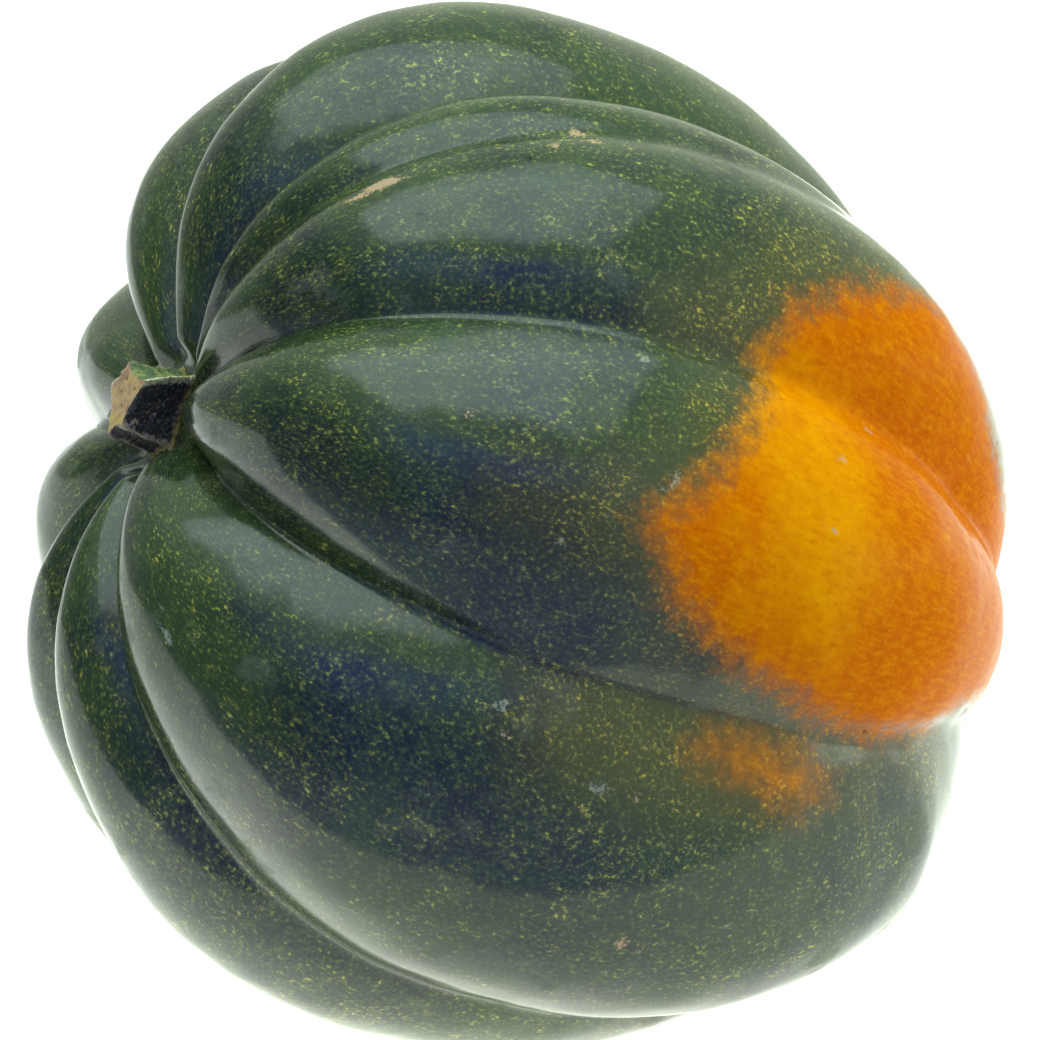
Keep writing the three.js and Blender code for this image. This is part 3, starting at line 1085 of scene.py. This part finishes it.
def stem_sides():
    rings, ridge_rows, ups = [], [], []
    for row in range(STEM_ROWS + 1):
        up = 1 - row / STEM_ROWS
        ring, ridges = stem_ring(up)
        outward = ring / np.linalg.norm(ring, axis=1, keepdims=True)
        proud = np.array([ridge[4] for ridge in STEM_RIDGES]) @ ridges
        points = np.column_stack([ring + (STEM_OFFSET * up, 0), np.full(len(ring), stem_height(up))])
        rough = np.array([crust(point) + wart(point) + collar(point, up) for point in points])
        out = proud + rough - BEVEL_DEPTH * math.exp(-((1 - up) / BEVEL) ** 2)
        points[:, :2] += outward * out[:, None]
        rings.append(points)
        ridge_rows.append(ridges)
        ups.append(np.full(len(ring), up))
    return np.array(rings), np.array(ridge_rows), np.array(ups)


sides, side_ridges, side_up = stem_sides()
print("rows and columns of the sides:", sides.shape[:2])

# %% [markdown]
# ### The cut
#
# The cut face is one more stack of rings that closes toward the middle. It dished a little as
# it dried, and the open ends of the sap vessels are pits in it. Each vessel has its place
# across the cut and its radius. Face and sides are joined in one closed mesh.

# %% Build the stem
CUT_ROWS = 34
CUT_ROUGHNESS = 0.7
CUT_PROUD = 0.1
DISH = 0.3
VESSEL_DEPTH = 0.5
VESSELS = [
    (1.3, -0.4, 0.34), (-0.3, -1.2, 0.42), (0.6, 1.6, 0.3), (-1.4, 0.6, 0.38), (2.4, 1.4, 0.26),
    (-0.9, 2.3, 0.28),
]


def vessel_pit(x, y):
    pits = sum(math.exp(-(math.hypot(x - at_x, y - at_y) / size) ** 4) for at_x, at_y, size in VESSELS)
    return VESSEL_DEPTH * min(1, pits)


def cut_face(rim):
    """Rings that close from the rim of the cut toward its middle."""
    middle = rim.mean(axis=0)
    rows = []
    for row in range(1, CUT_ROWS):
        part = 1 - row / CUT_ROWS
        points = middle + (rim - middle) * (part, part, 1)
        points[:, 2] = stem_height(1) + CUT_PROUD - DISH * (1 - part ** 2)
        for point in points:
            point[2] += CUT_ROUGHNESS * crust(point) - vessel_pit(*(point[:2] - middle[:2]))
        rows.append(points)
    return np.array(rows)[::-1], middle - (0, 0, DISH)


face, face_middle = cut_face(sides[0])
stem_rings = np.concatenate([face, sides])
root_middle = np.array([0, 0, stem_height(0)])
stem_mesh = ring_mesh("squash_stem", lay(face_middle), lay(stem_rings), lay(root_middle))
add_piece("squash_stem", stem_mesh, "stem")
print("stem rows and columns:", stem_rings.shape[:2])

# %% [markdown]
# ### What the stem's finish needs to know
#
# The shader has to tell the cut from the sides, the ridges from the hollows, and the green
# upper side from the blackened ones. All of that is stored in the mesh where the rings are
# made, together with each point's place on the stem in millimetres.

# %% Store the stem's facts
UPPER_RIDGE, LOWER_RIDGE = 0, 4
RIM_SHARPNESS = 12
ROOT_STAIN = 2.4 * COLLAR


def beside(ridge, next_ridge):
    """1 on the points of the side between two ridges and 0 elsewhere, softened at the ridges."""
    columns = np.arange(len(STEM_RIDGES) * STEM_SIDE_STEPS) / STEM_SIDE_STEPS
    begins = smoothstep(columns, ridge - 0.05, ridge + 0.12)
    return begins * smoothstep(next_ridge - columns, -0.1, 0.15)


def over_face(side_values):
    """A value of the sides, with nothing of it on the cut face."""
    return np.concatenate([np.zeros(face.shape[:2]), side_values])


cut = np.concatenate([np.ones(face.shape[:2]), np.zeros(sides.shape[:2])])
rim_part = (np.arange(len(face)) + 1)[:, None] / CUT_ROWS
edge = np.concatenate([np.broadcast_to(rim_part, face.shape[:2]), side_up ** RIM_SHARPNESS])
green_side = np.broadcast_to(beside(UPPER_RIDGE, UPPER_RIDGE + 1), sides.shape[:2])
facts = {
    "cut": (cut, 1, 0),
    "cut_edge": (edge, 0, 0),
    "upper_ridge": (over_face(side_ridges[:, UPPER_RIDGE]), 0, 0),
    "lower_ridge": (over_face(side_ridges[:, LOWER_RIDGE]), 0, 0),
    "other_ridges": (over_face(side_ridges[:, UPPER_RIDGE + 1:LOWER_RIDGE].max(axis=1)), 0, 0),
    "green_side": (over_face(green_side), 0, 0),
    "root": (over_face(np.exp(-(side_up / ROOT_STAIN) ** 2)), 0, 1),
}
for name, (grid, first, last) in facts.items():
    store(stem_mesh, name, "FLOAT", "value", with_ends(grid, first, last))
store(stem_mesh, "place", "FLOAT_VECTOR", "vector", with_ends(stem_rings, face_middle, root_middle))
print("stem facts:", sorted(facts))

# %% [markdown]
# ### The sides of the stem
#
# Dead and woody, the sides have weathered nearly black, with moss and ochre stains. Pale specks
# on the grit and the warts are partly dust and partly painted glints, the shine of the warts put
# into the colour. One side is still green. The upper ridge is worn to pale yellow-green bits,
# and the lower ones are a broken tan line. The colours follow the stored ridges, because a plain
# noise would put the worn places in the hollows as well.

# %% Stem sides finish
BLACKENED = (0.020, 0.022, 0.020)
PLUM = (0.040, 0.030, 0.034)
MOSS = (0.070, 0.085, 0.030)
STEM_GREEN = (0.10, 0.17, 0.055)
RIDGE_PALE = (0.64, 0.65, 0.33)
RIDGE_TAN = (0.44, 0.36, 0.22)
OCHRE = (0.40, 0.31, 0.06)
OCHRE_GREEN = (0.34, 0.36, 0.09)
# Grey-white specks on the stem: partly dust, partly painted glints of the warts.
GLINT_AND_DUST = (0.36, 0.39, 0.33)
STEM_MOTTLE, STEM_PATCHES, STEM_GRAIN = (2.2, 3, 0.65), (0.55, 2), (7.0, 2, 0.6)
WART_SCALE = 1.9


def stem_patterns(stalk):
    place = stalk.attribute("place", "Vector")
    mottle = stalk.noise(place, *STEM_MOTTLE)
    return SimpleNamespace(
        place=place, mottle=mottle, patches=stalk.noise(place, *STEM_PATCHES),
        grain=stalk.noise(place, *STEM_GRAIN), rough_edge=mottle.swing(0.9),
    )


def weathered_side(stalk, on):
    green_part = stalk.attribute("green_side") * on.mottle.step(0.2, 0.5)
    grit = (on.grain + on.mottle.swing(0.6)).step(0.56, 0.75)
    warts = stalk.node("TexVoronoi", {}, {"Vector": on.place, "Scale": WART_SCALE})
    return stalk.layers(
        BLACKENED,
        (on.patches.step(0.35, 0.6), PLUM),
        (on.mottle.step(0.45, 0.7) * 0.8, MOSS),
        ((on.patches + on.mottle.swing(1)).step(0.58, 0.8) * 0.5, OCHRE),
        (green_part, STEM_GREEN), (green_part * on.patches.step(0.45, 0.65), OCHRE_GREEN),
        # Pale specks on the grit and at the wart centres: dust and painted glints.
        (grit * 0.5, GLINT_AND_DUST), ((warts + on.grain.swing(0.5)).step(0.14, 0.02) * 0.75, GLINT_AND_DUST),
    )


def worn_ridges(stalk, on, side):
    broken = on.rough_edge + on.patches.swing(2.5)
    upper = (stalk.attribute("upper_ridge") + on.rough_edge).step(0.12, 0.5)
    return stalk.layers(
        side,
        ((stalk.attribute("other_ridges") + on.rough_edge).step(0.5, 0.9) * 0.4, RIDGE_TAN),
        ((stalk.attribute("lower_ridge") + broken).step(0.35, 0.9) * 0.85, RIDGE_TAN),
        ((stalk.attribute("root") + on.rough_edge).step(0.55, 1.0) * 0.8, OCHRE),
        (upper * on.mottle.step(0.3, 0.5), RIDGE_PALE),
    )


stalk = Finish("dry_stem")
on = stem_patterns(stalk)
side_colour = worn_ridges(stalk, on, weathered_side(stalk, on))
print("nodes for the sides:", len(stalk.tree.nodes))

# %% [markdown]
# ### The cut end
#
# The cut is dry pith, the colour of straw, yellower in some patches and brown where it dried
# deepest, with a pale rim on its far side, where the blade left last. Like the rest of the stem
# it is matt, with a fine grain as bump.

# %% Stem surface
PITH = (0.56, 0.36, 0.17)
PITH_YELLOW = (0.58, 0.45, 0.09)
PITH_BROWN = (0.20, 0.11, 0.05)
PITH_RIM = (0.74, 0.72, 0.50)
FAR_SIDE = (1.0, -1.5)
STEM_SHINE, STEM_ROUGHNESS, STEM_ROUGHER = 0.4, 0.62, 0.4
STEM_GRAIN_HEIGHT = 0.09


def dry_pith(stalk, on):
    rim = (stalk.attribute("cut_edge") + on.rough_edge * 0.12).step(0.9, 0.97)
    return stalk.layers(
        PITH,
        (on.patches.step(0.45, 0.7), PITH_YELLOW),
        (on.patches.step(0.5, 0.3) * 0.5, PITH_BROWN),
        (on.grain.step(0.45, 0.2) * 0.6, PITH_BROWN),
        (rim * stalk.part(on.place, "X").step(*FAR_SIDE), PITH_RIM),
    )


stem_mesh.materials.append(stalk.surface({
    "Base Color": stalk.mix(stalk.attribute("cut"), side_colour, dry_pith(stalk, on)),
    "Roughness": STEM_ROUGHNESS + on.mottle.swing(STEM_ROUGHER), "Specular IOR Level": STEM_SHINE,
    "Normal": stalk.bump(on.grain * STEM_GRAIN_HEIGHT),
}))
print("stem nodes:", len(stalk.tree.nodes))
